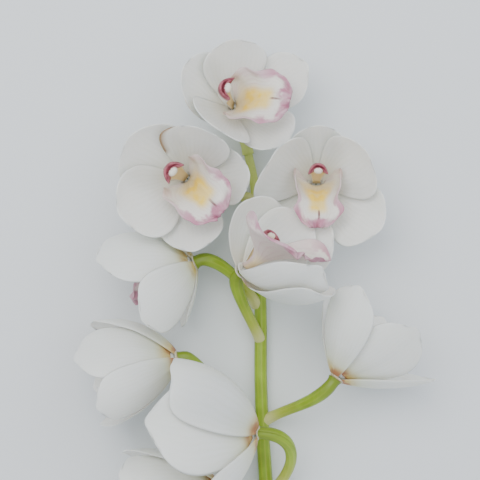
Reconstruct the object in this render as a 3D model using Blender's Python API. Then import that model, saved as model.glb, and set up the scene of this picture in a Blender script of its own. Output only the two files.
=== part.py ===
# A cut cymbidium orchid stem with nine blooms, lying on its back on a flat surface.
# The stem runs along Y with its cut end at -Y, the blooms open upwards and sideways.
# Units are metres. Lengths and places in the tables are millimetres, turned by MM.

import math

import bmesh
import bpy
from mathutils import Vector

MM = 0.001

# Driving sizes
TEPAL_THICKNESS = 0.9 * MM
CLEARANCE = 0.35 * MM            # between two pieces that lie against each other
REFERENCE_LENGTH = 64 * MM       # the length over which a tepal bends through its curl
LAYER_STEP = 2.7 * MM            # the petals start this far in front of the sepals
LAYER_CLOSING = math.radians(4)  # and stand this much more upright
HUB_REACH = 5.2 * MM             # how far the hub follows the tepals outwards
HUB_THICKNESS = 1.6 * MM
HUB_SIDES = 10
ORIGIN_IN_VIEW = Vector((11.9, -90.1, 0)) * MM  # middle of the footprint in the tables

# Round the bloom's axis: the upper sepal, a petal, the two lower sepals, the other petal
WIDEST_SPREAD = [62, 56, 40, 40, 56]
SEPALS = (0, 2, 3)
PETALS = (1, 4)
TEPAL_ROWS = [0.0, 0.12, 0.30, 0.50, 0.70, 0.86, 0.955, 1.0]
TEPAL_COLUMNS = [-1.0, -0.55, 0.0, 0.55, 1.0]
ROOT_REACH = 2.0 * MM            # where a tepal starts, inside the hub
TIP_ROUNDING = 0.03              # share of its length that a tepal's side edges stay behind
TIP_SHARE = 0.985                # where the outline of a tepal is cut blunt
TEPAL_FULLNESS = 2.017           # makes the widest place of the outline 1
PETAL_LIFT = 1.4 * MM            # the petals stay this far above the floor, over the sepals

# Lip, at size 1
LIP_LENGTH = 48 * MM
LIP_THICKNESS = 0.9 * MM
LIP_ROOT_HEIGHT = -1.4 * MM
LIP_FLOOR_LIFT = 3 * MM
LIP_ROWS = [0.0, 0.14, 0.30, 0.46, 0.62, 0.76, 0.9, 1.0]
LIP_COLUMNS = [-1.0, -0.68, -0.38, -0.13, 0.0, 0.13, 0.38, 0.68, 1.0]
LIP_SHARE_OF_CUP = 0.84          # how much of the space inside the petals it may fill
LIP_FREE = 0.9 * MM              # and how far it stays away from them besides
LIP_SLOPES = [(0, 28), (0.22, 24), (0.5, 42), (0.75, 62), (1, 92)]  # degrees down, on its way
LIP_ROOT_WIDTH = 4.2 * MM
SIDE_LOBE_WIDTH = 25 * MM
SIDE_LOBE_CREST = 0.28           # share of the length where the side lobes are widest
SIDE_LOBE_RUN = 0.235
FRONT_LOBE_WIDTH = 16 * MM
FRONT_LOBE_CREST = 0.78
FRONT_LOBE_RUN = 0.26
ROUND_END_STARTS = 0.55
ROUND_END_RUN = 0.60
WALL_TURN = math.radians(100)    # how far the side lobes stand up
WALL_CREST = 0.25
WALL_RUN = 0.42
RUFFLE_STARTS = 0.5
RUFFLE_HEIGHT = 1.0 * MM
SCALLOP = 0.05                   # how far the margin swings in and out, as a share of the width
KEEL_COLUMNS = (3, 5)            # the columns of the lip that its two keels follow
KEEL_HEIGHT = 1.7 * MM
KEEL_STARTS = 0.12
KEEL_RUN = 0.62
KEEL_SIDE = 1                    # the face of the lip's blade that carries the keels

# Column, at size 1
COLUMN_LENGTH = 32 * MM
BACK_POINTS = 7                  # over the rounded back, from side to side
HOLLOW_POINTS = 3                # along the hollow underside
HOLLOW_WIDTH = 0.80              # of the hollow, as a share of the column's width
HOLLOW_DEPTH = 0.72
ANTHER_RISE = 8.6 * MM
ANTHER_REACH = 1.2 * MM          # how far the anther cap stands out of the front
COLUMN_STATIONS = [  # share of length, rise, half width, height of back, drop of sides, hollow
    (0.00, 1.4, 2.8, 2.0, 1.2, -1.2),
    (0.24, 4.6, 3.7, 2.8, 1.4, 0.8),
    (0.48, 7.4, 5.1, 3.5, 2.2, 1.9),
    (0.72, 8.9, 6.6, 4.3, 3.0, 2.8),
    (0.92, 8.9, 7.5, 4.5, 3.7, 3.2),
    (1.00, 8.2, 7.0, 4.1, 3.6, 3.0),
]

# Stem and stalks
STEM_SIDES = 12
STALK_SIDES = 9
STALK_STEPS = 9
STALK_THINNEST = 3.8 * MM
STALK_FOOT = 0.5 * MM            # how much thicker it is at the stem
OVARY_SWELL = 0.9 * MM
STALK_STOPS = 2.2 * MM           # behind the middle of the hub
CUP_REACH = 4.6 * MM             # of the shallow cup that the sepals' funnel sits in

STEM_COURSE = [  # x, y, z of the middle line and the radius there
    (24, -320, 5.2, 5.4),
    (23, -270, 5.6, 5.3),
    (21, -220, 6.4, 5.2),
    (19, -180, 7.0, 5.0),
    (16.5, -140, 7.4, 4.8),
    (15, -100, 7.6, 4.6),
    (15, -60, 7.6, 4.5),
    (14, -20, 7.4, 4.1),
    (12.5, 15, 7.2, 3.7),
    (10.5, 40, 7.0, 3.3),
    (6, 62, 7.0, 3.1),
]

# Each bloom: where its hub lies, the way it faces, the side its upper sepal is on, and for
# the five tepals the angle from the axis at the hub, the bend to the tip, length and width.
# Then the lip's size, how far it turns down (droop), how large its side lobes are (lobes) and
# where they are highest (crest), the column's size where it isn't the lip's (column), and how
# the stalk leaves the stem and arrives at the hub.
BLOOMS = {
    "top": {
        "base": (-5, 94, 15), "faces": (0.12, 0.24, 1), "up": (-1, 0.22, 0),
        "angles": (0, 68, 145, 215, 292),
        "lean": (58, 60, 66, 66, 60), "curl": (-34, -42, -28, -28, -42),
        "length": (67, 60, 68, 62, 66), "width": (33, 33, 26, 30, 33),
        "lip": 1.12, "droop": 0.9, "lobes": 0.72, "crest": 0.34,
        "root": (6, 62, 7), "leaves": (-3, 16, 0), "arrives": 12,
    },
    "upper_left": {
        "base": (-37.5, 44, 15), "faces": (-0.05, -0.05, 1), "up": (-0.78, 0.62, 0),
        "angles": (0, 68, 137, 223, 292),
        "lean": (58, 60, 64, 64, 62), "curl": (-32, -42, -30, -26, -28),
        "length": (74, 70, 62, 66, 75), "width": (35, 33, 30, 34, 36),
        "lip": 1.15, "droop": 0.9, "lobes": 0.72, "crest": 0.34,
        "root": (11.2, 29, 7), "leaves": (-18, 5, -1), "arrives": 14.5,
    },
    "upper_right": {
        "base": (54.5, 40, 15), "faces": (0, 0.03, 1), "up": (0, 1, 0),
        "angles": (0, 62, 128, 228, 296),
        "lean": (60, 60, 66, 84, 62), "curl": (-44, -40, -24, -24, -46),
        "length": (62, 66, 70, 59, 65), "width": (26, 34, 34, 29, 33),
        "lip": 0.95, "root": (12.2, 18, 7), "leaves": (18, 8, -1), "arrives": 14.5,
    },
    "middle": {
        "base": (0, -23, 50), "faces": (0.62, 0.56, 0.52), "up": (-0.15, 0.73, -0.63),
        "angles": (0, 48, 68, 152, 176),
        "lean": (70, 64, 62, 84, 78), "curl": (-64, -44, -40, -60, -60),
        "length": (60, 62, 74, 82, 88), "width": (38, 32, 34, 38, 30),
        "lip": 1.3, "droop": 0.6, "lobes": 1.0, "crest": 0.55, "column": 0.95,
        "root": (14.6, -72, 7.8), "leaves": (-6, 14, 18), "arrives": 10,
    },
    "left": {
        "base": (-31, -15.5, 34), "faces": (-0.89, -0.44, 0.0), "up": (-0.42, 0.85, -0.42),
        "angles": (0, 66, 138, 223, 292),
        "lean": (88, 76, 66, 72, 60), "curl": (-72, -60, -42, -52, -52),
        "length": (58, 77, 70, 50, 54), "width": (20, 31, 33, 26, 24),
        "lip": 0.95, "droop": 0.1, "root": (12, -47, 8), "leaves": (-8, 16, 14), "arrives": 12,
    },
    "lower_left": {
        "base": (-42, -83, 42), "faces": (-0.95, -0.28, 0.0), "up": (-0.267, 0.85, -0.454),
        "angles": (0, 70, 138, 219, 288),
        "lean": (78, 62, 62, 54, 56), "curl": (-66, -58, -50, -50, -50),
        "length": (78, 78, 77, 78, 74), "width": (26, 26, 26, 25, 22),
        "lip": 1.0, "droop": 0.3, "root": (16.8, -142, 7.4), "leaves": (-14, 10, 2), "arrives": 8,
    },
    "lowest": {
        "base": (13, -134, 52), "faces": (-0.99, 0.07, 0.05), "up": (0.07, 0.82, 0.57),
        "angles": (0, 44, 120, 250, 290),
        "lean": (86, 68, 84, 56, 60), "curl": (-64, -54, -40, -52, -52),
        "length": (94, 92, 84, 56, 72), "width": (46, 34, 34, 26, 26),
        "lip": 0.85, "droop": 0.6, "root": (19.4, -186, 7), "leaves": (26, 28, 22), "arrives": 24,
    },
    "right": {
        "base": (66, -98, 46), "faces": (0.585, 0.805, -0.1), "up": (0.79, -0.575, -0.2),
        "angles": (0, 68, 137, 223, 292),
        "lean": (72, 62, 62, 58, 58), "curl": (-30, -40, -40, -34, -46),
        "length": (76, 72, 78, 66, 68), "width": (22, 28, 26, 24, 24),
        "lip": 0.85, "droop": 0.6, "root": (19, -130, 8), "leaves": (16, 10, 8), "arrives": 18,
    },
    "hidden": {
        "base": (-12, -176, 27), "faces": (-0.98, -0.12, 0.0), "up": (0.1, 0.98, -0.2),
        "angles": (0, 68, 137, 223, 292),
        "lean": (60, 66, 64, 58, 58), "curl": (-54, -50, -48, -48, -48),
        "length": (82, 82, 78, 70, 70), "width": (33, 30, 28, 24, 24),
        "lip": 0.8, "droop": 0.6, "root": (20.6, -220, 6.6), "leaves": (-6, 12, 14), "arrives": 16,
    },
}


def clear_scene():
    for item in list(bpy.data.objects):
        bpy.data.objects.remove(item, do_unlink=True)


def material(name, colour, roughness):
    made = bpy.data.materials.new(name)
    made.use_nodes = True
    shader = made.node_tree.nodes["Principled BSDF"]
    shader.inputs["Base Color"].default_value = (*colour, 1)
    shader.inputs["Roughness"].default_value = roughness
    shader.inputs["Metallic"].default_value = 0
    made.diffuse_color = (*colour, 1)
    return made


def face_outward(bm):
    bmesh.ops.recalc_face_normals(bm, faces=bm.faces)
    if bm.calc_volume(signed=True) < 0:
        bmesh.ops.reverse_faces(bm, faces=bm.faces)


def add_object(name, bm, finish):
    face_outward(bm)
    mesh = bpy.data.meshes.new(name)
    bm.to_mesh(mesh)
    bm.free()
    mesh.materials.append(finish)
    mesh.shade_smooth()
    mesh.set_sharp_from_angle(angle=math.radians(50))
    made = bpy.data.objects.new(name, mesh)
    bpy.context.scene.collection.objects.link(made)
    return made


def apply_modifiers(item):
    depsgraph = bpy.context.evaluated_depsgraph_get()
    mesh = bpy.data.meshes.new_from_object(item.evaluated_get(depsgraph))
    item.modifiers.clear()
    item.data = mesh


# One Boolean union on a collection joins the repeats of a node to its first solid
def join_solids(name, solids, finish):
    body = add_object(name, solids[0], finish)
    rest = bpy.data.collections.new(name + "_parts")
    bpy.context.scene.collection.children.link(rest)
    for number, solid in enumerate(solids[1:]):
        extra = add_object(f"{name}_part_{number}", solid, finish)
        bpy.context.scene.collection.objects.unlink(extra)
        rest.objects.link(extra)
    union = body.modifiers.new("Join", "BOOLEAN")
    union.operation = "UNION"
    union.operand_type = "COLLECTION"
    union.solver = "MANIFOLD"
    union.collection = rest
    apply_modifiers(body)
    for extra in list(rest.objects):
        bpy.data.objects.remove(extra, do_unlink=True)
    bpy.data.collections.remove(rest)
    return body


def cut_away(item, cutter):
    cut = item.modifiers.new("Cut", "BOOLEAN")
    cut.operation = "DIFFERENCE"
    cut.solver = "MANIFOLD"
    cut.object = cutter
    apply_modifiers(item)


# The value between the five tepals, easing from each one to the next
def round_the_bloom(table, values, angle):
    angle = math.degrees(angle) % 360
    stops = (*table["angles"], 360)
    for number in range(5):
        if angle <= stops[number + 1]:
            share = (angle - stops[number]) / (stops[number + 1] - stops[number])
            ease = (1 - math.cos(math.pi * share)) / 2
            return values[number] + (values[(number + 1) % 5] - values[number]) * ease
    return values[0]


class Bloom:
    def __init__(self, table):
        self.table = table
        self.base = Vector(table["base"]) * MM - ORIGIN_IN_VIEW
        self.axis = Vector(table["faces"]).normalized()
        up = Vector(table["up"])
        self.up = (up - self.axis * up.dot(self.axis)).normalized()
        self.right = self.up.cross(self.axis)
        self.phase = sum(table["base"]) % 7     # sets each bloom's waves apart

    def radial(self, angle):
        return self.up * math.cos(angle) + self.right * math.sin(angle)

    def place(self, across, upward, forward):
        return self.base + self.right * across + self.up * upward + self.axis * forward

    # A sheet that all sepals share (layer 0) and one inside it that both petals share
    # (layer 1), as distance from the axis and height along it.
    def profile(self, layer, angle, reach):
        lean = math.radians(round_the_bloom(self.table, self.table["lean"], angle))
        curl = math.radians(round_the_bloom(self.table, self.table["curl"], angle))
        lean -= layer * LAYER_CLOSING
        bend = curl * reach / REFERENCE_LENGTH
        half = bend / 2
        chord = reach * (math.sin(half) / half if abs(half) > 1e-6 else 1)
        away = chord * math.sin(lean + half)
        height = chord * math.cos(lean + half) + layer * LAYER_STEP
        return away, height, lean + bend

    def sheet(self, layer, angle, reach, offset=0.0):
        away, height, slope = self.profile(layer, angle, reach)
        away -= offset * math.cos(slope)
        height += offset * math.sin(slope)
        return self.base + self.radial(angle) * away + self.axis * height

    # The distance from the axis to the petals' sheet at a height along it
    def cup_radius(self, angle, forward):
        low, high = 0.0, 1.2 * REFERENCE_LENGTH
        for _ in range(24):
            middle = (low + high) / 2
            if self.profile(1, angle, middle)[1] < forward:
                low = middle
            else:
                high = middle
        return self.profile(1, angle, low)[0]


# Keeps the middle surface of a blade above the floor that the part lies on
def press_on_floor(point, thickness, lift):
    lowest = thickness / 2 + lift
    if point.z < lowest:
        point = Vector((point.x, point.y, lowest))
    return point


def grid_normals(grid):
    rows, columns = len(grid), len(grid[0])
    normals = []
    for j in range(rows):
        line = []
        for i in range(columns):
            along = grid[min(j + 1, rows - 1)][i] - grid[max(j - 1, 0)][i]
            across = grid[j][min(i + 1, columns - 1)] - grid[j][max(i - 1, 0)]
            line.append(across.cross(along).normalized())
        normals.append(line)
    normals[-1] = normals[-2]    # the end row is narrow, and faces as the row before it
    return normals


# A closed blade round a grid of middle points, split into triangles alike on both faces
def thick_blade(grid, thickness, raised=None):
    bm = bmesh.new()
    normals = grid_normals(grid)
    rows, columns = len(grid), len(grid[0])
    sides = []
    for sign in (1, -1):
        side = []
        for j in range(rows):
            line = []
            for i in range(columns):
                offset = sign * thickness / 2
                if raised and sign == KEEL_SIDE:
                    offset += sign * raised.get((j, i), 0)
                line.append(bm.verts.new(grid[j][i] + normals[j][i] * offset))
            side.append(line)
        sides.append(side)
    for side in sides:
        for j in range(rows - 1):
            for i in range(columns - 1):
                a, b = side[j][i], side[j][i + 1]
                c, d = side[j + 1][i + 1], side[j + 1][i]
                bm.faces.new((a, b, c))
                bm.faces.new((a, c, d))
    rim = [(j, 0) for j in range(rows)]
    rim += [(rows - 1, i) for i in range(1, columns)]
    rim += [(j, columns - 1) for j in range(rows - 2, -1, -1)]
    rim += [(0, i) for i in range(columns - 2, 0, -1)]
    for (j, i), (n, m) in zip(rim, rim[1:] + rim[:1]):
        front, back = sides
        bm.faces.new((front[j][i], front[n][m], back[n][m]))
        bm.faces.new((front[j][i], back[n][m], back[j][i]))
    return bm


def tepal_half_width(share):
    # Widest past the middle, with a round end
    return TEPAL_FULLNESS * share ** 0.62 * (1 - share) ** 0.42


def tepal_grid(bloom, number):
    layer = 1 if number in PETALS else 0
    middle = math.radians(bloom.table["angles"][number])
    length = bloom.table["length"][number] * MM
    width = bloom.table["width"][number] * MM
    widest = math.radians(WIDEST_SPREAD[number])
    grid = []
    for row in TEPAL_ROWS:
        reach = ROOT_REACH + (length - ROOT_REACH) * row
        share = min(reach / length, TIP_SHARE)
        away = bloom.profile(layer, middle, reach)[0]
        wanted = width * tepal_half_width(share) / away / widest
        spread = widest * wanted / (1 + wanted ** 4) ** 0.25
        line = []
        for column in TEPAL_COLUMNS:
            # the side edges of a row lie further back, which rounds the tip
            pull = TIP_ROUNDING * length * row ** 3 * column ** 2
            side = bloom.sheet(layer, middle + spread * column, max(reach - pull, ROOT_REACH))
            line.append(press_on_floor(side, TEPAL_THICKNESS, layer * PETAL_LIFT))
        grid.append(line)
    return grid


def ring_angles(sides):
    return [2 * math.pi * k / sides for k in range(sides)]


def close_ring(bm, ring, centre):
    for k in range(len(ring)):
        bm.faces.new((ring[k], ring[(k + 1) % len(ring)], centre))


def bridge_rings(bm, first, second):
    for k in range(len(first)):
        after = (k + 1) % len(first)
        bm.faces.new((first[k], first[after], second[after]))
        bm.faces.new((first[k], second[after], second[k]))


# The funnel that the three sepals grow from
def sepal_hub(bloom):
    bm = bmesh.new()
    half = HUB_THICKNESS / 2
    rings = {}
    for sign in (1, -1):
        for step, reach in enumerate((ROOT_REACH, HUB_REACH)):
            rings[sign, step] = [
                bm.verts.new(bloom.sheet(0, angle, reach, sign * half))
                for angle in ring_angles(HUB_SIDES)
            ]
    front = bm.verts.new(bloom.place(0, 0, half))
    back = bm.verts.new(bloom.place(0, 0, -half))
    close_ring(bm, rings[1, 0], front)
    close_ring(bm, rings[-1, 0], back)
    bridge_rings(bm, rings[1, 0], rings[1, 1])
    bridge_rings(bm, rings[-1, 0], rings[-1, 1])
    bridge_rings(bm, rings[1, 1], rings[-1, 1])
    return bm


def petal_hub_front(bloom):
    heights = [
        (bloom.sheet(1, angle, HUB_REACH, HUB_THICKNESS / 2) - bloom.base).dot(bloom.axis)
        for angle in ring_angles(HUB_SIDES)
    ]
    return max(heights)


# The plug that the two petals grow from, with a flat front that carries lip and column
def petal_hub(bloom):
    bm = bmesh.new()
    half = HUB_THICKNESS / 2
    inner = [bm.verts.new(bloom.sheet(1, a, ROOT_REACH, -half)) for a in ring_angles(HUB_SIDES)]
    outer = [bm.verts.new(bloom.sheet(1, a, HUB_REACH, -half)) for a in ring_angles(HUB_SIDES)]
    level = petal_hub_front(bloom)
    rim = []
    for angle in ring_angles(HUB_SIDES):
        edge = bloom.sheet(1, angle, HUB_REACH, half) - bloom.base
        away = edge.dot(bloom.radial(angle))
        rim.append(bm.verts.new(bloom.base + bloom.radial(angle) * away + bloom.axis * level))
    back = bm.verts.new(bloom.place(0, 0, LAYER_STEP - half))
    front = bm.verts.new(bloom.place(0, 0, level))
    close_ring(bm, inner, back)
    bridge_rings(bm, inner, outer)
    bridge_rings(bm, outer, rim)
    close_ring(bm, rim, front)
    return bm


# Lip: a channel that runs forward under the column, then turns down into the front lobe
def lip_slope(bloom, share):
    slope = LIP_SLOPES[-1][1]
    for (one, first), (two, second) in zip(LIP_SLOPES, LIP_SLOPES[1:]):
        if share <= two:
            slope = first + (second - first) * (share - one) / (two - one)
            break
    return math.radians(slope) * bloom.table.get("droop", 1)


def lip_course(bloom, share):
    steps = 24
    forward = 0.0
    down = 0.0
    for step in range(steps):
        slope = lip_slope(bloom, share * (step + 0.5) / steps)
        forward += math.cos(slope) * share / steps
        down += math.sin(slope) * share / steps
    return forward, down


def lip_half_width(bloom, share):
    crest = bloom.table.get("crest", SIDE_LOBE_CREST)
    side_lobes = math.exp(-abs((share - crest) / SIDE_LOBE_RUN) ** 2.6) * bloom.table.get("lobes", 1)
    front_lobe = math.exp(-((share - FRONT_LOBE_CREST) / FRONT_LOBE_RUN) ** 2)
    past = max(0.0, share - ROUND_END_STARTS) / ROUND_END_RUN
    front_lobe *= math.sqrt(max(0.05, 1 - past ** 2))
    return LIP_ROOT_WIDTH + SIDE_LOBE_WIDTH * side_lobes + FRONT_LOBE_WIDTH * front_lobe


def lip_turn_up(share):
    # how far the side lobes stand up, in radians at their edge
    return max(WALL_TURN * math.exp(-((share - WALL_CREST) / WALL_RUN) ** 2), 0.02)


def lip_ruffle(bloom, share, column):
    front = max(0.0, (share - RUFFLE_STARTS) / (1 - RUFFLE_STARTS))
    wave = math.sin(15 * share + 7 * column + bloom.phase)
    wave += 0.7 * math.sin(11 * column - 9 * share + 2 * bloom.phase)
    return RUFFLE_HEIGHT * wave * max(abs(column), front) ** 2 * front


def lip_point(bloom, share, column):
    size = bloom.table["lip"]
    forward, down = lip_course(bloom, share)
    slope = lip_slope(bloom, share)
    turn_up = lip_turn_up(share)
    radius = lip_half_width(bloom, share) / turn_up
    across = radius * math.sin(turn_up * column)
    across *= 1 + SCALLOP * math.sin(26 * share + 3 * column + bloom.phase) * column ** 2
    lift = radius * (1 - math.cos(turn_up * column)) + lip_ruffle(bloom, share, column)
    start = petal_hub_front(bloom) + CLEARANCE + 0.3 * LIP_THICKNESS
    ahead = start + (LIP_LENGTH * forward + lift * math.sin(slope)) * size
    height = LIP_ROOT_HEIGHT + (lift * math.cos(slope) - LIP_LENGTH * down) * size
    across *= size
    away = math.hypot(across, height)
    angle = math.atan2(across, height)
    room = bloom.cup_radius(angle, ahead) * LIP_SHARE_OF_CUP - LIP_FREE
    if away > room:
        across *= room / away
        height *= room / away
    return bloom.place(across, height, ahead)


def keel_height(share):
    run = min(max((share - KEEL_STARTS) / KEEL_RUN, 0.0), 1.0)
    return KEEL_HEIGHT * math.sin(math.pi * run)


def lip_solid(bloom):
    grid = [[lip_point(bloom, row, column) for column in LIP_COLUMNS] for row in LIP_ROWS]
    grid = [[press_on_floor(p, LIP_THICKNESS, LIP_FLOOR_LIFT) for p in line] for line in grid]
    keels = {
        (j, i): keel_height(row) for j, row in enumerate(LIP_ROWS) for i in KEEL_COLUMNS
    }
    return thick_blade(grid, LIP_THICKNESS, keels)


# A closed tube through rings given as centre, two directions and a radius
def ring_solid(rings, sides):
    bm = bmesh.new()
    loops = []
    for centre, first, second, radius in rings:
        loops.append([
            bm.verts.new(centre + (first * math.cos(a) + second * math.sin(a)) * radius)
            for a in ring_angles(sides)
        ])
    for one, two in zip(loops, loops[1:]):
        bridge_rings(bm, one, two)
    close_ring(bm, loops[0], bm.verts.new(rings[0][0]))
    close_ring(bm, loops[-1], bm.verts.new(rings[-1][0]))
    return bm


# Section of the column: over its back from side to side, then home along the hollow underside
def column_loop(wide, back, drop, hollow):
    points = []
    for k in range(BACK_POINTS):
        angle = math.pi * k / (BACK_POINTS - 1)
        sink = drop * abs(math.cos(angle)) ** 3
        points.append((wide * math.cos(angle), back * math.sin(angle) - sink))
    for k in range(HOLLOW_POINTS, 0, -1):
        angle = math.pi * k / (HOLLOW_POINTS + 1)
        dome = math.sin(angle) ** 0.8 * HOLLOW_DEPTH
        points.append((HOLLOW_WIDTH * wide * math.cos(angle), (drop + hollow) * dome - drop))
    return points


# Column: an arched hood over the lip, hollow below, with the anther cap at its front
def column_solid(bloom):
    size = bloom.table.get("column", bloom.table["lip"])
    start = petal_hub_front(bloom) + CLEARANCE
    bm = bmesh.new()
    loops = []
    for share, rise, wide, back, drop, hollow in COLUMN_STATIONS:
        grow = size if share > 0 else 1.0
        ahead = start + share * COLUMN_LENGTH * size
        loops.append([
            bm.verts.new(bloom.place(across * MM * grow, (rise + lift) * MM * grow, ahead))
            for across, lift in column_loop(wide, back, drop, hollow)
        ])
    for one, two in zip(loops, loops[1:]):
        bridge_rings(bm, one, two)
    root = bm.verts.new(bloom.place(0, COLUMN_STATIONS[0][1] * MM, start))
    close_ring(bm, loops[0], root)
    anther = bloom.place(0, ANTHER_RISE * size, start + (COLUMN_LENGTH + ANTHER_REACH) * size)
    close_ring(bm, loops[-1], bm.verts.new(anther))
    return bm


def smooth_course(points, steps):
    # Catmull-Rom through points of any number of values
    padded = [2 * points[0] - points[1]] + list(points) + [2 * points[-1] - points[-2]]
    course = []
    for k in range(1, len(padded) - 2):
        before, here, there, after = padded[k - 1:k + 3]
        for step in range(steps):
            t = step / steps
            course.append(0.5 * (
                2 * here + (there - before) * t
                + (2 * before - 5 * here + 4 * there - after) * t * t
                + (3 * here - before - 3 * there + after) * t ** 3
            ))
    course.append(points[-1].copy())
    return course


def ring_frames(centres):
    frames = []
    side = Vector((1, 0, 0))
    for k, centre in enumerate(centres):
        along = (centres[min(k + 1, len(centres) - 1)] - centres[max(k - 1, 0)]).normalized()
        side = (side - along * side.dot(along)).normalized()
        frames.append((side.copy(), along.cross(side)))
    return frames


def stem_rings(extra):
    course = smooth_course([Vector(point) for point in STEM_COURSE], 2)
    centres = [Vector(point[:3]) * MM - ORIGIN_IN_VIEW for point in course]
    centres[0] += (centres[0] - centres[1]).normalized() * extra
    centres[-1] += (centres[-1] - centres[-2]).normalized() * extra
    rings = []
    for centre, (first, second), point in zip(centres, ring_frames(centres), course):
        rings.append((centre, first, second, point[3] * MM + extra))
    return rings


def stem_solid():
    bm = ring_solid(stem_rings(0), STEM_SIDES)
    for vertex in bm.verts:
        vertex.co.z = max(vertex.co.z, 0)
    return bm


def stalk_radius(share):
    # thick at the stem, slimmer past it, then the ovary swells towards the flower
    foot = STALK_FOOT * math.exp(-(share / 0.1) ** 2)
    ovary = OVARY_SWELL * math.exp(-((share - 0.80) / 0.28) ** 2)
    return STALK_THINNEST + foot + ovary


def stalk_solid(bloom):
    table = bloom.table
    root = Vector(table["root"]) * MM - ORIGIN_IN_VIEW
    leave = root + Vector(table["leaves"]) * MM
    end = bloom.base - bloom.axis * STALK_STOPS
    arrive = end - bloom.axis * table["arrives"] * MM
    centres = []
    for step in range(STALK_STEPS):
        t = step / (STALK_STEPS - 1)
        centres.append(
            root * (1 - t) ** 3 + leave * 3 * t * (1 - t) ** 2
            + arrive * 3 * t * t * (1 - t) + end * t ** 3
        )
    bm = bmesh.new()
    loops = []
    side = bloom.up
    frames = []
    for k in range(len(centres) - 1, -1, -1):
        along = (centres[min(k + 1, len(centres) - 1)] - centres[max(k - 1, 0)]).normalized()
        side = (side - along * side.dot(along)).normalized()
        frames.insert(0, (side.copy(), side.cross(along)))
    for k, centre in enumerate(centres):
        first, second = frames[k]
        radius = stalk_radius(k / (len(centres) - 1))
        loops.append([
            bm.verts.new(centre + (first * math.cos(a) + second * math.sin(a)) * radius)
            for a in ring_angles(STALK_SIDES)
        ])
    # the end is a shallow cup that the sepals' funnel sits in
    under = -(HUB_THICKNESS / 2 + CLEARANCE)
    loops.append([
        bm.verts.new(bloom.sheet(0, angle, CUP_REACH, under)) for angle in ring_angles(STALK_SIDES)
    ])
    for one, two in zip(loops, loops[1:]):
        bridge_rings(bm, one, two)
    close_ring(bm, loops[0], bm.verts.new(centres[0]))
    close_ring(bm, loops[-1], bm.verts.new(bloom.place(0, 0, under * 1.25)))
    for vertex in bm.verts:
        vertex.co.z = max(vertex.co.z, 0)
    return bm


def build():
    clear_scene()
    white = material("petal_white", (0.86, 0.86, 0.82), 0.55)
    lip_cream = material("lip_cream", (0.84, 0.74, 0.66), 0.5)
    column_rose = material("column_rose", (0.62, 0.28, 0.32), 0.45)
    stem_green = material("stem_green", (0.33, 0.45, 0.11), 0.5)
    stalk_green = material("stalk_green", (0.42, 0.50, 0.16), 0.5)

    add_object("stem", stem_solid(), stem_green)
    cutter = add_object("stem_cutter", ring_solid(stem_rings(CLEARANCE), STEM_SIDES), stem_green)
    cutter.hide_render = True
    cutter.display_type = "WIRE"
    for name, table in BLOOMS.items():
        bloom = Bloom(table)
        sepals = [sepal_hub(bloom)]
        sepals += [thick_blade(tepal_grid(bloom, k), TEPAL_THICKNESS) for k in SEPALS]
        join_solids("sepals_" + name, sepals, white)
        petals = [petal_hub(bloom)]
        petals += [thick_blade(tepal_grid(bloom, k), TEPAL_THICKNESS) for k in PETALS]
        join_solids("petals_" + name, petals, white)
        add_object("lip_" + name, lip_solid(bloom), lip_cream)
        add_object("column_" + name, column_solid(bloom), column_rose)
        stalk = add_object("stalk_" + name, stalk_solid(bloom), stalk_green)
        cut_away(stalk, cutter)
    bpy.data.objects.remove(cutter, do_unlink=True)


build()
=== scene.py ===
# Cymbidium orchid stem, lying on its back on a pale floor and seen from above
import math

import bmesh
import bpy
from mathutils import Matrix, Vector


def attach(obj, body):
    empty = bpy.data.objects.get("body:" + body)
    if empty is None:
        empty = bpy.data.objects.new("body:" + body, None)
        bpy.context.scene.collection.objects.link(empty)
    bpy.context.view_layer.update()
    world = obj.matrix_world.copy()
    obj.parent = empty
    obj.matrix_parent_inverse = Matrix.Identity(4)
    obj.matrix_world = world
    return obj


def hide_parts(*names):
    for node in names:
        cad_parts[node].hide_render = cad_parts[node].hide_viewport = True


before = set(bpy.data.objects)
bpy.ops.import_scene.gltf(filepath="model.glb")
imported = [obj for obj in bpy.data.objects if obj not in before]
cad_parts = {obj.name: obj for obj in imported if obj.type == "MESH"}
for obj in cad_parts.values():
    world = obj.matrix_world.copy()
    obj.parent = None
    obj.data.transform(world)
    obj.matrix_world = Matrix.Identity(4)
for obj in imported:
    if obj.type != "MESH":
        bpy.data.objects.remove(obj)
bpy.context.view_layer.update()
mm = 0.001
viewOrigin = Vector((11.9, -90.1, 0)) * mm   # the tables' zero, seen from the middle of the part
print("frame loaded:", len(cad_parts), "nodes")

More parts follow.
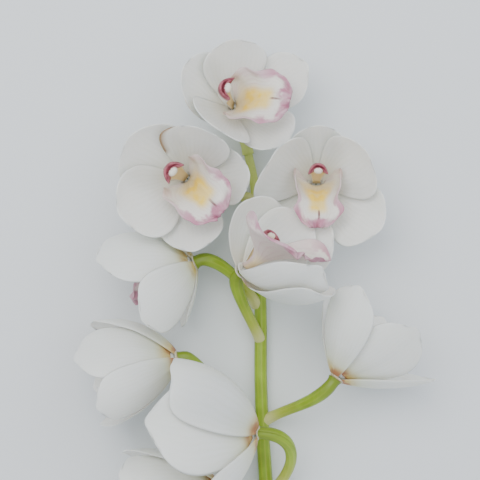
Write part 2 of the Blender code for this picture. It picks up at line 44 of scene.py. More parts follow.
# Each bloom: where it sits, how it is turned, and its five tepals: upper sepal, petal, two lower
# sepals, petal. Millimetres and degrees
bloomTable = {
    "top": {
        "base": (-5, 94, 15), "faces": (0.12, 0.24, 1), "up": (-1, 0.22, 0),
        "angles": (0, 68, 145, 215, 292),
        "lean": (58, 60, 66, 66, 60), "curl": (-34, -42, -28, -28, -42),
        "length": (67, 60, 68, 62, 66), "width": (33, 33, 26, 30, 33),
        "lip": 1.12, "droop": 0.9, "lobes": 0.72, "crest": 0.34,
        "root": (6, 62, 7), "leaves": (-3, 16, 0), "arrives": 12,
    },
    "upper_left": {
        "base": (-37.5, 44, 15), "faces": (-0.05, -0.05, 1), "up": (-0.78, 0.62, 0),
        "angles": (0, 68, 137, 223, 292),
        "lean": (58, 60, 64, 64, 62), "curl": (-32, -42, -30, -26, -28),
        "length": (74, 70, 62, 66, 75), "width": (35, 33, 30, 34, 36),
        "lip": 1.15, "droop": 0.9, "lobes": 0.72, "crest": 0.34,
        "root": (11.2, 29, 7), "leaves": (-18, 5, -1), "arrives": 14.5,
    },
    "upper_right": {
        "base": (54.5, 40, 15), "faces": (0, 0.03, 1), "up": (0, 1, 0),
        "angles": (0, 62, 128, 228, 296),
        "lean": (60, 60, 66, 84, 62), "curl": (-44, -40, -24, -24, -46),
        "length": (62, 66, 70, 59, 65), "width": (26, 34, 34, 29, 33),
        "lip": 0.95, "root": (12.2, 18, 7), "leaves": (18, 8, -1), "arrives": 14.5,
    },
    "middle": {
        "base": (0, -23, 50), "faces": (0.62, 0.56, 0.52), "up": (-0.15, 0.73, -0.63),
        "angles": (0, 48, 68, 152, 176),
        "lean": (70, 64, 62, 84, 78), "curl": (-64, -44, -40, -60, -60),
        "length": (60, 62, 74, 82, 88), "width": (38, 32, 34, 38, 30),
        "lip": 1.3, "droop": 0.6, "crest": 0.55, "column": 0.95,
        "root": (14.6, -72, 7.8), "leaves": (-6, 14, 18), "arrives": 10,
    },
    "left": {
        "base": (-31, -15.5, 34), "faces": (-0.89, -0.44, 0.0), "up": (-0.42, 0.85, -0.42),
        "angles": (0, 66, 138, 223, 292),
        "lean": (88, 76, 66, 72, 60), "curl": (-72, -60, -42, -52, -52),
        "length": (58, 77, 70, 50, 54), "width": (20, 31, 33, 26, 24),
        "lip": 0.95, "droop": 0.1, "root": (12, -47, 8), "leaves": (-8, 16, 14), "arrives": 12,
    },
    "lower_left": {
        "base": (-42, -83, 42), "faces": (-0.95, -0.28, 0.0), "up": (-0.267, 0.85, -0.454),
        "angles": (0, 70, 138, 219, 288),
        "lean": (78, 62, 62, 54, 56), "curl": (-66, -58, -50, -50, -50),
        "length": (78, 78, 77, 78, 74), "width": (26, 26, 26, 25, 22),
        "lip": 1.0, "droop": 0.3, "root": (16.8, -142, 7.4), "leaves": (-14, 10, 2), "arrives": 8,
    },
    "lowest": {
        "base": (13, -134, 52), "faces": (-0.99, 0.07, 0.05), "up": (0.07, 0.82, 0.57),
        "angles": (0, 44, 120, 250, 290),
        "lean": (86, 68, 84, 56, 60), "curl": (-64, -54, -40, -52, -52),
        "length": (94, 92, 84, 56, 72), "width": (46, 34, 34, 26, 26),
        "lip": 0.85, "droop": 0.6, "root": (19.4, -186, 7), "leaves": (26, 28, 22), "arrives": 24,
    },
    "right": {
        "base": (66, -98, 46), "faces": (0.585, 0.805, -0.1), "up": (0.79, -0.575, -0.2),
        "angles": (0, 68, 137, 223, 292),
        "lean": (72, 62, 62, 58, 58), "curl": (-30, -40, -40, -34, -46),
        "length": (76, 72, 78, 66, 68), "width": (22, 28, 26, 24, 24),
        "lip": 0.85, "droop": 0.6, "root": (19, -130, 8), "leaves": (16, 10, 8), "arrives": 18,
    },
    "hidden": {
        "base": (-12, -176, 27), "faces": (-0.98, -0.12, 0.0), "up": (0.1, 0.98, -0.2),
        "angles": (0, 68, 137, 223, 292),
        "lean": (60, 66, 64, 58, 58), "curl": (-54, -50, -48, -48, -48),
        "length": (82, 82, 78, 70, 70), "width": (33, 30, 28, 24, 24),
        "lip": 0.8, "droop": 0.6, "root": (20.6, -220, 6.6), "leaves": (-6, 12, 14), "arrives": 16,
    },
}


# Helpers for node trees. A new tree's inputs are named with a default value or a type
def newTree(name, kind, inputs, output, outputType):
    tree = bpy.data.node_groups.new(name, kind)
    addSocket = tree.interface.new_socket
    for label, value in inputs.items():
        typeOnly = isinstance(value, str)
        kindOf = value if typeOnly else type(value).__name__.capitalize()
        socket = addSocket(name=label, in_out="INPUT", socket_type="NodeSocket" + kindOf)
        if not typeOnly:
            socket.default_value = value
    addSocket(name=output, in_out="OUTPUT", socket_type="NodeSocket" + outputType)
    given = tree.nodes.new("NodeGroupInput").outputs
    return tree, given, tree.nodes.new("NodeGroupOutput").inputs[0]


def addNode(tree, kind, links=None, **settings):
    node = tree.nodes.new(kind)
    for key, value in settings.items():
        setattr(node, key, value)
    for socket, source in (links or {}).items():
        target = node.inputs[socket]
        if isinstance(source, bpy.types.NodeSocket):
            tree.links.new(source, target)
        else:
            target.default_value = source
    return node


def calc(tree, operation, *values):
    node = addNode(tree, "ShaderNodeMath", dict(enumerate(values)), operation=operation)
    return node.outputs[0]


def times(tree, first, *others):
    for other in others:
        first = calc(tree, "MULTIPLY", first, other)
    return first


def remap(tree, value, low, high, start=0.0, end=1.0):
    node = addNode(tree, "ShaderNodeMapRange",
                   {"Value": value, "From Min": low, "From Max": high, "To Min": start, "To Max": end},
                   interpolation_type="SMOOTHSTEP")
    return node.outputs["Result"]


def namedValue(tree, label):
    if tree.bl_idname == "GeometryNodeTree":
        node = addNode(tree, "GeometryNodeInputNamedAttribute", {"Name": label})
        return node.outputs["Attribute"]
    return addNode(tree, "ShaderNodeAttribute", attribute_name=label).outputs["Fac"]


def moveOut(tree, mesh, reach):
    facing = addNode(tree, "GeometryNodeInputNormal").outputs[0]
    offset = addNode(tree, "ShaderNodeVectorMath", {0: facing, "Scale": reach}, operation="SCALE")
    moved = addNode(tree, "GeometryNodeSetPosition", {"Geometry": mesh, "Offset": offset.outputs[0]})
    return moved.outputs[0]


def storeValue(tree, mesh, label, value):
    node = addNode(tree, "GeometryNodeStoreNamedAttribute", {
        "Geometry": mesh, "Name": label, "Value": value,
    }, data_type="FLOAT", domain="POINT")
    return node.outputs[0]


# Noise from -0.5 to 0.5 round the points of a mesh
def unevenness(tree, seed, scale, detail):
    place = addNode(tree, "GeometryNodeInputPosition").outputs[0]
    noise = addNode(tree, "ShaderNodeTexNoise", {
        "Vector": place, "W": seed, "Scale": scale, "Detail": detail,
    }, noise_dimensions="4D")
    return calc(tree, "SUBTRACT", noise.outputs["Fac"], 0.5)


# Every geometry tree ends like this: smooth shading, real geometry and its material
def endTree(tree, mesh, material, end):
    smooth = addNode(tree, "GeometryNodeSetShadeSmooth", {"Geometry": mesh})
    real = addNode(tree, "GeometryNodeRealizeInstances", {"Geometry": smooth.outputs[0]})
    painted = addNode(tree, "GeometryNodeSetMaterial", {
        "Geometry": real.outputs[0], "Material": material,
    })
    tree.links.new(painted.outputs[0], end)


bladeLook = {
    "waveDetail": 1.5,
    "creaseWidth": 0.09,  # share of the blade's half width
    "creaseFade": (0.08, 1.0, 1.0, 0.2),    # from and to along the blade, and its depth there
    "mergeDistance": 0.01 * mm,
}


# Turns a thin sheet into a living blade: finer, waved towards the rim, creased along the middle,
# raised where the sheet says so, thick inside and thin at the rim
def makeBladeTree():
    tree, given, end = newTree("bladeFromSheet", "GeometryNodeTree", {
        "Sheet": "Geometry", "Finer": 1, "Thickness": 0.9 * mm, "Wave Height": 0.8 * mm,
        "Wave Scale": 60.0, "Wave Seed": 0.0, "Crease Depth": 0.5 * mm, "Raised Height": 0.0,
        "Finish": "Material",
    }, "Blade", "Geometry")
    look = bladeLook
    finer = addNode(tree, "GeometryNodeSubdivisionSurface", {
        "Mesh": given["Sheet"], "Level": given["Finer"],
    })
    wave = unevenness(tree, given["Wave Seed"], given["Wave Scale"], look["waveDetail"])
    swing = times(tree, wave, 2.0, namedValue(tree, "rim"), given["Wave Height"])
    crease = calc(tree, "DIVIDE", namedValue(tree, "across"), look["creaseWidth"])
    crease = calc(tree, "EXPONENT", times(tree, crease, crease, -1.0))
    crease = times(tree, crease, given["Crease Depth"],
                   remap(tree, namedValue(tree, "along"), *look["creaseFade"]))
    waved = moveOut(tree, finer.outputs[0], calc(tree, "SUBTRACT", swing, crease))
    half = times(tree, given["Thickness"], 0.5, namedValue(tree, "body"))
    raised = times(tree, namedValue(tree, "raised"), given["Raised Height"])
    above = moveOut(tree, waved, calc(tree, "ADD", half, raised))
    below = moveOut(tree, waved, times(tree, half, -1.0))
    below = addNode(tree, "GeometryNodeFlipFaces", {"Mesh": below}).outputs[0]
    joined = addNode(tree, "GeometryNodeJoinGeometry")
    for side, inside in ((above, 1.0), (below, 0.0)):
        tree.links.new(storeValue(tree, side, "inside", inside), joined.inputs[0])
    closed = addNode(tree, "GeometryNodeMergeByDistance", {
        "Geometry": joined.outputs[0], "Distance": look["mergeDistance"],
    })
    endTree(tree, closed.outputs[0], given["Finish"], end)
    return tree


ribLook = {
    "count": 7,
    "ribShare": 0.6,  # how much of the height is ribs, and how much unevenness
    "roughShare": 2.5,
    "roughDetail": 2.0,
}


# Makes the stem or a stalk along a path, with shallow ribs
def makeStalkTree():
    tree, given, end = newTree("stalkAlongPath", "GeometryNodeTree", {
        "Path": "Geometry", "Sides": 40, "Steps": 80, "Rib Height": 0.1 * mm, "Rib Scale": 60.0,
        "Seed": 0.0, "Finish": "Material",
    }, "Stalk", "Geometry")
    path = addNode(tree, "GeometryNodeMeshToCurve", {"Mesh": given["Path"]})
    even = addNode(tree, "GeometryNodeResampleCurve", {
        "Curve": path.outputs[0], "Count": given["Steps"],
    })
    ring = addNode(tree, "GeometryNodeCurvePrimitiveCircle", {
        "Resolution": given["Sides"], "Radius": 1.0,
    })
    turn = addNode(tree, "GeometryNodeSplineParameter").outputs["Factor"]
    tube = addNode(tree, "GeometryNodeCurveToMesh", {
        "Curve": even.outputs[0], "Profile Curve": storeValue(tree, ring.outputs[0], "round", turn),
        "Scale": namedValue(tree, "girth"), "Fill Caps": True,
    })
    rough = unevenness(tree, given["Seed"], given["Rib Scale"], ribLook["roughDetail"])
    ribs = calc(tree, "SINE", times(tree, namedValue(tree, "round"), 2 * math.pi * ribLook["count"]))
    height = calc(tree, "ADD", times(tree, ribs, ribLook["ribShare"]),
                  times(tree, rough, ribLook["roughShare"]))
    shaped = moveOut(tree, tube.outputs[0], times(tree, height, given["Rib Height"]))
    endTree(tree, shaped, given["Finish"], end)
    return tree


def addObject(name, data):
    made = bpy.data.objects.new(name, data)
    bpy.context.scene.collection.objects.link(made)
    return made


# Runs a geometry tree on a mesh and keeps the result as a plain mesh
def growMesh(name, mesh, tree, values):
    piece = addObject(name, mesh)
    grower = piece.modifiers.new("grow", "NODES")
    grower.node_group = tree
    for item in tree.interface.items_tree:
        if item.name in values:
            grower[item.identifier] = values[item.name]
    piece.update_tag()
    bpy.context.view_layer.update()
    evaluated = piece.evaluated_get(bpy.context.evaluated_depsgraph_get())
    grown = bpy.data.meshes.new_from_object(evaluated)
    grown.name = name
    piece.modifiers.remove(grower)
    piece.data = grown
    return piece


def smoothMix(values, stops, angle):
    angle %= 360
    for number in range(5):
        if angle <= stops[number + 1]:
            share = (angle - stops[number]) / (stops[number + 1] - stops[number])
            ease = (1 - math.cos(math.pi * share)) / 2
            return values[number] + (values[(number + 1) % 5] - values[number]) * ease
    return values[0]


bloomLook = {
    "layerStep": 2.7 * mm,           # petals start this far in front of the sepals
    "layerClosing": 4.0,             # and stand this much more upright, in degrees
    "bendLength": 64 * mm,           # the length that a tepal's curl is counted over
    "rootReach": 2.0 * mm,
    "hubReach": 5.2 * mm,
    "hubThickness": 1.6 * mm,
    "gap": 0.35 * mm,
    "widest": (62, 56, 40, 40, 56),  # no tepal spreads wider than this, half angles
    "frontSamples": 10,
    "searchReach": 76.8 * mm,        # the cup is searched this far along a petal
    "searchSteps": 20,
    "hubReaches": (0.2, 1.5, 3.2, 4.8, 6.2),    # rings of a hub, mm along the blade
    "hubSides": 24,
    "hubBody": 1.25,
    "hubAlong": (0.10, 0.28),        # of sepals and petals: only the outer funnel is stained
    "hubAlongStep": 0.02,
}


class Bloom:
    def __init__(self, name, table):
        self.name = name
        self.table = table
        self.base = Vector(table["base"]) * mm - viewOrigin
        self.axis = Vector(table["faces"]).normalized()
        up = Vector(table["up"])
        self.up = (up - self.axis * up.dot(self.axis)).normalized()
        self.right = self.up.cross(self.axis)
        self.stops = (*table["angles"], 360)
        self.phase = sum(table["base"]) % 7     # sets each bloom's waves apart

    def radial(self, angle):
        return self.up * math.cos(angle) + self.right * math.sin(angle)

    def place(self, across, upward, forward):
        return self.base + self.right * across + self.up * upward + self.axis * forward

    def profile(self, layer, angle, reach):
        turn = math.degrees(angle)
        lean = math.radians(smoothMix(self.table["lean"], self.stops, turn)
                            - layer * bloomLook["layerClosing"])
        curl = math.radians(smoothMix(self.table["curl"], self.stops, turn))
        bend = curl * reach / bloomLook["bendLength"]
        half = bend / 2
        chord = reach * (math.sin(half) / half if abs(half) > 1e-6 else 1)
        away = chord * math.sin(lean + half)
        height = chord * math.cos(lean + half) + layer * bloomLook["layerStep"]
        return away, height, lean + bend

    def sheet(self, layer, angle, reach, offset=0.0):
        away, height, slope = self.profile(layer, angle, reach)
        away -= offset * math.cos(slope)
        height += offset * math.sin(slope)
        return self.base + self.radial(angle) * away + self.axis * height

    def cupRadius(self, angle, forward):
        low, high = 0.0, bloomLook["searchReach"]
        for _ in range(bloomLook["searchSteps"]):
            middle = (low + high) / 2
            if self.profile(1, angle, middle)[1] < forward:
                low = middle
            else:
                high = middle
        return self.profile(1, angle, low)[0]

    def front(self):
        count = bloomLook["frontSamples"]
        reach = bloomLook["hubReach"]
        half = bloomLook["hubThickness"] / 2
        edge = [self.sheet(1, 2 * math.pi * k / count, reach, half) for k in range(count)]
        return max((point - self.base).dot(self.axis) for point in edge)


def keepAbove(point, lowest):
    return Vector((point.x, point.y, max(point.z, lowest)))


# A sheet mesh from rows of points, with the values that the geometry and materials read
class SheetMaker:
    labels = ("across", "along", "rim", "body", "raised", "bruise")

    def __init__(self):
        self.points = []
        self.faces = []
        self.values = {label: [] for label in self.labels}

    def addGrid(self, rows, describe, ringed=False):
        first = len(self.points)
        wide = len(rows[0])
        for j, row in enumerate(rows):
            for i, point in enumerate(row):
                self.points.append(point)
                told = describe(j, i)
                if j in (0, len(rows) - 1) or not ringed and i in (0, wide - 1):
                    told["body"] = told["raised"] = 0.0     # both sides of a blade meet at its edge
                for label in self.labels:
                    self.values[label].append(told.get(label, 0.0))
        columns = wide if ringed else wide - 1
        for j in range(len(rows) - 1):
            for i in range(columns):
                a = first + j * wide + i
                b = first + j * wide + (i + 1) % wide
                self.faces.append((a, b, b + wide, a + wide))

    def finish(self, name):
        mesh = bpy.data.meshes.new(name)
        mesh.from_pydata(self.points, [], self.faces)
        for label in self.labels:
            mesh.attributes.new(label, "FLOAT", "POINT").data.foreach_set("value", self.values[label])
        mesh.update()
        return mesh


tepalLook = {
    "thickness": 0.9 * mm,
    "rows": 18,
    "columns": 13,
    "ruffleHeight": 1.1 * mm,
    "ruffleScale": 42.0,
    "ruffleRise": 3,                 # full height from a third of the length on
    "seedStep": 7.0,
    "creaseDepth": 0.5 * mm,
    "keelHeight": 0.0,
    "outline": (2.017, 0.62, 0.42),  # brings the widest to 1, and powers at foot and tip
    "tipRounding": 0.05,
    "crowdAcross": 1.35,             # above 1: points lie closer together near the margin
    "crowdAlong": 1.5,
    "lastShare": 0.995,              # the outline is cut off just short of its point
    "nearest": 1 * mm,               # and spread as if never nearer to the bloom's axis
    "aboveFloor": (0.45 * mm, 1.85 * mm),   # sepals and petals
}


# Half width along the tepal as a share of its widest
def tepalWidth(share):
    scale, atFoot, atTip = tepalLook["outline"]
    return scale * share ** atFoot * max(0.0, 1 - share) ** atTip


# Steps across a sheet from -1 to 1 and along it from 0 to 1, closer together near the margin
def sheetSteps(look):
    across = []
    for k in range(look["columns"]):
        t = 2 * k / (look["columns"] - 1) - 1
        across.append(math.copysign(1 - (1 - abs(t)) ** look["crowdAcross"], t))
    last = look["rows"] - 1
    along = [1 - (1 - k / last) ** look["crowdAlong"] for k in range(last + 1)]
    return across, along


def addTepal(maker, bloom, number):
    look = tepalLook
    table = bloom.table
    layer = 1 if number in (1, 4) else 0
    middle = math.radians(table["angles"][number])
    length = table["length"][number] * mm
    width = table["width"][number] * mm
    widest = math.radians(bloomLook["widest"][number])
    root = bloomLook["rootReach"]
    acrossSteps, alongSteps = sheetSteps(look)
    rows = []
    for along in alongSteps:
        reach = root + (length - root) * along
        share = min(reach / length, look["lastShare"])
        away = max(bloom.profile(layer, middle, reach)[0], look["nearest"])
        wanted = width * tepalWidth(share) / away / widest
        spread = widest * wanted / (1 + wanted ** 4) ** 0.25    # eases towards the widest
        line = []
        for across in acrossSteps:
            pull = look["tipRounding"] * length * along ** 3 * across ** 2
            point = bloom.sheet(layer, middle + spread * across, max(reach - pull, root))
            line.append(keepAbove(point, look["aboveFloor"][layer]))
        rows.append(line)

    def describe(j, i):
        along, across = alongSteps[j], acrossSteps[i]
        return {
            "across": across, "along": along,
            "rim": max(abs(across), along ** 2) ** 2 * min(1.0, along * look["ruffleRise"]),
            "body": 1.0, "bruise": bruiseOf(bloom.name, number, across, along),
        }
    maker.addGrid(rows, describe)


wornLook = {
    "width": 0.14,  # share of the tepal's half width
    "edges": (  # bloom, tepal, side, from and to along it, strength
        ("upper_left", 1, -1, 0.45, 1.01, 1.35), ("upper_left", 1, 1, 0.86, 1.01, 0.8),
        ("top", 0, -1, 0.80, 0.95, 0.6), ("top", 3, 1, 0.55, 0.80, 0.5),
        ("middle", 3, 1, 0.10, 0.30, 1.0),
    ),
}


# A brown line of wear on the margin of a tepal
def bruiseOf(bloomName, number, across, along):
    for name, tepal, side, start, end, strength in wornLook["edges"]:
        if (name, tepal) == (bloomName, number) and start < along < end:
            return strength * max(0.0, 1 - (1 - across * side) / wornLook["width"])
    return 0.0


# The funnel that the sepals grow from, or the plug of the petals
def addHub(maker, bloom, layer):
    look = bloomLook
    turns = [2 * math.pi * k / look["hubSides"] for k in range(look["hubSides"])]
    rows = [[bloom.sheet(layer, turn, reach * mm) for turn in turns] for reach in look["hubReaches"]]

    def describe(j, i):
        return {"along": look["hubAlong"][layer] + look["hubAlongStep"] * j, "body": look["hubBody"]}
    maker.addGrid(rows, describe, ringed=True)


lipLook = {
    "length": 48 * mm,
    "thickness": 0.9 * mm,
    "rootHeight": -1.4 * mm,
    "rows": 30,
    "columns": 31,
    "creaseDepth": 0.0,
    "keelHeight": 1.7 * mm,
    "ruffleHeight": 2.6 * mm,
    "ruffleScale": 105.0,
    "slopes": ((0, 28), (0.22, 24), (0.5, 42), (0.75, 62), (1, 92)),  # degrees down, by share of length
    "wallTurn": 100.0,       # how far the side lobes stand up, in degrees
    "turnAt": 0.25,          # where they stand up most, and how far along that reaches
    "turnReach": 0.42,
    "rootWidth": 4.2 * mm,   # half widths
    "sideLobeWidth": 25.0 * mm,
    "sideLobeAt": 0.28,
    "sideLobeReach": 0.235,
    "sideLobePower": 2.6,    # above 2: broader, with steeper ends
    "frontLobeWidth": 16.0 * mm,
    "frontLobeAt": 0.78,
    "frontLobeReach": 0.26,
    "roundFrom": 0.55,       # the front lobe's outline rounds off from here
    "roundReach": 0.47,
    "roundLeast": 0.05,
    "waveHeight": 1.6 * mm,  # slow waves of the front lobe
    "waves": ((15, 7, 1, 1.0), (-9, 11, 2, 0.7)),   # turns along, across, phase, strength
    "waveFrom": 0.5,
    "scallops": (0.065, 26, 3),     # waves of the outline: strength, turns along, across
    "ruffleFrom": 0.6,       # past this the end is ruffled from side to side
    "ruffleRise": 4,         # full height from a quarter of the length on
    "seed": 40.0,
    "shareOfCup": 0.84,
    "freeOfCup": 0.9 * mm,
    "aboveFloor": 3.5 * mm,
    "rootLift": 0.27 * mm,
    "crowdAcross": 1.25,
    "crowdAlong": 1.15,
    "courseSteps": 24,
    "keelAt": 0.13,          # to each side of the middle
    "keelWidth": 0.05,
    "keelFrom": 0.12,
    "keelRun": 0.62,
}


def alongStops(stops, share):
    for (one, first), (two, second) in zip(stops, stops[1:]):
        if share <= two:
            return first + (second - first) * (share - one) / (two - one)
    return stops[-1][1]


def lipSlope(bloom, share):
    return math.radians(alongStops(lipLook["slopes"], share)) * bloom.table.get("droop", 1)


def lipCourse(bloom, share):
    forward = down = 0.0
    steps = lipLook["courseSteps"]
    for step in range(steps):
        slope = lipSlope(bloom, share * (step + 0.5) / steps)
        forward += math.cos(slope) * share / steps
        down += math.sin(slope) * share / steps
    return forward, down


def lipHalfWidth(bloom, share):
    look = lipLook
    away = abs(share - bloom.table.get("crest", look["sideLobeAt"])) / look["sideLobeReach"]
    lobes = math.exp(-away ** look["sideLobePower"]) * bloom.table.get("lobes", 1)
    front = math.exp(-((share - look["frontLobeAt"]) / look["frontLobeReach"]) ** 2)
    if share > look["roundFrom"]:
        rounding = 1 - ((share - look["roundFrom"]) / look["roundReach"]) ** 2
        front *= math.sqrt(max(look["roundLeast"], rounding))
    return look["rootWidth"] + look["sideLobeWidth"] * lobes + look["frontLobeWidth"] * front


def lipPoint(bloom, start, share, across):
    look = lipLook
    size = bloom.table["lip"]
    forward, down = lipCourse(bloom, share)
    slope = lipSlope(bloom, share)
    upright = math.exp(-((share - look["turnAt"]) / look["turnReach"]) ** 2)
    turnUp = max(math.radians(look["wallTurn"]) * upright, 0.02)
    radius = lipHalfWidth(bloom, share) / turnUp
    side = radius * math.sin(turnUp * across)
    lift = radius * (1 - math.cos(turnUp * across))
    if share > look["waveFrom"]:
        front = (share - look["waveFrom"]) / (1 - look["waveFrom"])
        wavy = sum(strength * math.sin(forth * share + sideways * across + shift * bloom.phase)
                   for forth, sideways, shift, strength in look["waves"])
        lift += look["waveHeight"] * wavy * max(abs(across), front) ** 2 * front
    strength, forth, sideways = look["scallops"]
    side *= 1 + strength * math.sin(forth * share + sideways * across + bloom.phase) * across ** 2
    ahead = start + (look["length"] * forward + lift * math.sin(slope)) * size
    height = look["rootHeight"] + (-look["length"] * down + lift * math.cos(slope)) * size
    side *= size
    away = math.hypot(side, height)
    room = bloom.cupRadius(math.atan2(side, height), ahead) * look["shareOfCup"] - look["freeOfCup"]
    if away > room:
        side *= room / away
        height *= room / away
    return bloom.place(side, height, ahead)


def makeLipSheet(bloom):
    look = lipLook
    start = bloom.front() + bloomLook["gap"] + look["rootLift"]
    acrossSteps, alongSteps = sheetSteps(look)
    acrossSteps.reverse()       # from the right, so that the faces look up
    rows = [[keepAbove(lipPoint(bloom, start, along, across), look["aboveFloor"])
             for across in acrossSteps] for along in alongSteps]

    def describe(j, i):
        along, across = alongSteps[j], acrossSteps[i]
        keel = math.exp(-((abs(across) - look["keelAt"]) / look["keelWidth"]) ** 2)
        passed = min(max((along - look["keelFrom"]) / look["keelRun"], 0.0), 1.0)
        run = max(0.0, math.sin(math.pi * passed))
        end = max(0.0, (along - look["ruffleFrom"]) / (1 - look["ruffleFrom"]))
        return {
            "across": across, "along": along,
            "rim": max(abs(across) ** 3, end ** 2) * min(1.0, along * look["ruffleRise"]),
            "body": 1.0, "raised": keel * run,
        }
    maker = SheetMaker()
    maker.addGrid(rows, describe)
    return maker.finish("lipSheet_" + bloom.name)


columnLook = {
    "length": 32 * mm,
    "outerSides": 19,     # points over the rounded back
    "innerSides": 11,     # points along the hollow underside
    "innerShare": 0.80,   # width of the hollow as a share of the whole
    "innerRise": 0.72,
    # share of length, rise, half width, height of back, drop of sides and hollow, in mm
    "stations": (
        (0.00, 1.4, 2.8, 2.0, 1.2, -1.2), (0.12, 3.0, 3.2, 2.4, 1.2, 0.3),
        (0.24, 4.6, 3.7, 2.8, 1.4, 0.8), (0.36, 6.2, 4.4, 3.1, 1.8, 1.4),
        (0.48, 7.4, 5.1, 3.5, 2.2, 1.9), (0.60, 8.3, 5.9, 3.9, 2.6, 2.4),
        (0.72, 8.9, 6.6, 4.3, 3.0, 2.8), (0.83, 9.1, 7.2, 4.5, 3.4, 3.1),
        (0.92, 8.9, 7.5, 4.5, 3.7, 3.2), (0.98, 8.5, 7.4, 4.4, 3.8, 3.2),
        (1.00, 8.2, 7.0, 4.1, 3.6, 3.0),
    ),
    "hollowFront": ((0.84, 0.5), (0.72, 2.0), (0.55, 3.4)),     # share of the last station, depth in mm
    "anther": (0.95, 7.6, 3.3, 2.3, 3.0),   # share of length, rise, half width, half height, half depth
    "antherSides": (24, 14),
    "grooveDepth": 0.16,  # between the anther's two lobes
    "grooveWidth": 0.22,
}


def columnLoop(wide, back, drop, hollow, shrink=1.0):
    # an arch: over the back from side to side, then home along the hollow underside
    look = columnLook
    points = []
    for k in range(look["outerSides"]):
        angle = math.pi * k / (look["outerSides"] - 1)
        sink = drop * abs(math.cos(angle)) ** 3
        points.append((wide * math.cos(angle) * shrink, (back * math.sin(angle) - sink) * shrink, 0.0))
    inside = wide * look["innerShare"]
    for k in range(1, look["innerSides"] + 1):
        angle = math.pi * (1 - k / (look["innerSides"] + 1))
        lift = (drop + hollow) * math.sin(angle) ** 0.8 * look["innerRise"] - drop
        points.append((inside * math.cos(angle) * shrink, lift * shrink, 1.0))
    return points


def makeColumnMesh(bloom, finish):
    look = columnLook
    size = bloom.table.get("column", bloom.table["lip"])
    start = bloom.front() + bloomLook["gap"]
    bm = bmesh.new()
    under, cap, along = (bm.verts.layers.float.new(label) for label in ("under", "cap", "along"))
    loops = []
    rings = [(share, rise, columnLoop(*section), share, None)
             for share, rise, *section in look["stations"]]
    rise, *section = look["stations"][-1][1:]
    for shrink, depth in look["hollowFront"]:
        rings.append((1 - depth * mm / look["length"], rise, columnLoop(*section, shrink), 1.0, 1.0))
    for share, rise, points, mark, forced in rings:
        grow = size if share > 0 else 1.0
        loop = []
        for across, lift, below in points:
            vertex = bm.verts.new(bloom.place(
                across * mm * grow, (rise + lift) * mm * grow, start + look["length"] * share * size))
            vertex[under] = below if forced is None else forced
            vertex[along] = mark
            loop.append(vertex)
        loops.append(loop)
    for one, two in zip(loops, loops[1:]):
        for k in range(len(one)):
            after = (k + 1) % len(one)
            bm.faces.new((one[k], one[after], two[after], two[k]))
    bm.faces.new(loops[0])
    bm.faces.new(loops[-1])
    bmesh.ops.recalc_face_normals(bm, faces=bm.faces)
    # the anther cap, a small two-lobed dome inside the hood
    share, rise, wide, high, deep = look["anther"]
    around, over = look["antherSides"]
    made = bmesh.ops.create_uvsphere(bm, u_segments=around, v_segments=over, radius=1.0)
    for vertex in made["verts"]:
        x, y, z = vertex.co
        groove = 1 - look["grooveDepth"] * math.exp(-(x / look["grooveWidth"]) ** 2) * max(0.0, z)
        vertex.co = bloom.place(x * wide * mm * size, (rise + y * high * groove) * mm * size,
                                start + (look["length"] * share + z * deep * groove * mm) * size)
        vertex[cap] = 1.0
    antherFaces = list({face for vertex in made["verts"] for face in vertex.link_faces})
    bmesh.ops.recalc_face_normals(bm, faces=antherFaces)
    mesh = bpy.data.meshes.new("column_" + bloom.name)
    bm.to_mesh(mesh)
    bm.free()
    mesh.shade_smooth()
    mesh.materials.append(finish)
    return mesh


stemLook = {
    "sides": 48,
    "steps": 220,
    "seed": 1.0,
    "ribHeight": 0.09 * mm,
    "ribScale": 55.0,
    "courseSteps": 12,
    "course": [  # x, y, z of the middle line and the radius there, mm
        (24, -320, 5.2, 5.4), (23, -270, 5.6, 5.3), (21, -220, 6.4, 5.2), (19, -180, 7.0, 5.0),
        (16.5, -140, 7.4, 4.8), (15, -100, 7.6, 4.6), (15, -60, 7.6, 4.5), (14, -20, 7.4, 4.1),
        (12.5, 15, 7.2, 3.7), (10.5, 40, 7.0, 3.3), (6, 62, 7.0, 3.1),
    ],
}

stalkLook = {
    "sides": 32,
    "steps": 60,
    "seed": 3.0,
    "ribHeight": 0.10 * mm,
    "ribScale": 90.0,
    "thinnest": 3.8 * mm,
    "foot": 0.5 * mm,
    "footReach": 0.1,  # share of the stalk's length
    "ovary": 0.9 * mm,
    "ovaryAt": 0.80,
    "ovaryReach": 0.28,
    "cup": 0.9 * mm,   # how far the end widens on to the funnel
    "underBloom": 2.2 * mm,
    "intoFunnel": 0.9 * mm,
    "courseSteps": 48,
    "cupSteps": 6,
}


def pathMesh(name, points, girths):
    mesh = bpy.data.meshes.new(name)
    last = len(points) - 1
    mesh.from_pydata(points, [(k, k + 1) for k in range(last)], [])
    for label, values in (("girth", girths), ("along", [k / last for k in range(last + 1)])):
        mesh.attributes.new(label, "FLOAT", "POINT").data.foreach_set("value", values)
    return mesh


def smoothCourse(points, steps):
    padded = [2 * points[0] - points[1]] + list(points) + [2 * points[-1] - points[-2]]
    course = []
    for k in range(1, len(padded) - 2):
        before, here, there, after = padded[k - 1:k + 3]
        for step in range(steps):
            t = step / steps
            course.append(0.5 * (2 * here + (there - before) * t
                                 + (2 * before - 5 * here + 4 * there - after) * t * t
                                 + (3 * here - before - 3 * there + after) * t ** 3))
    course.append(points[-1].copy())
    return course


def stemPath():
    course = smoothCourse([Vector(point) for point in stemLook["course"]], stemLook["courseSteps"])
    points = [Vector(point[:3]) * mm - viewOrigin for point in course]
    return pathMesh("stemPath", points, [point[3] * mm for point in course])


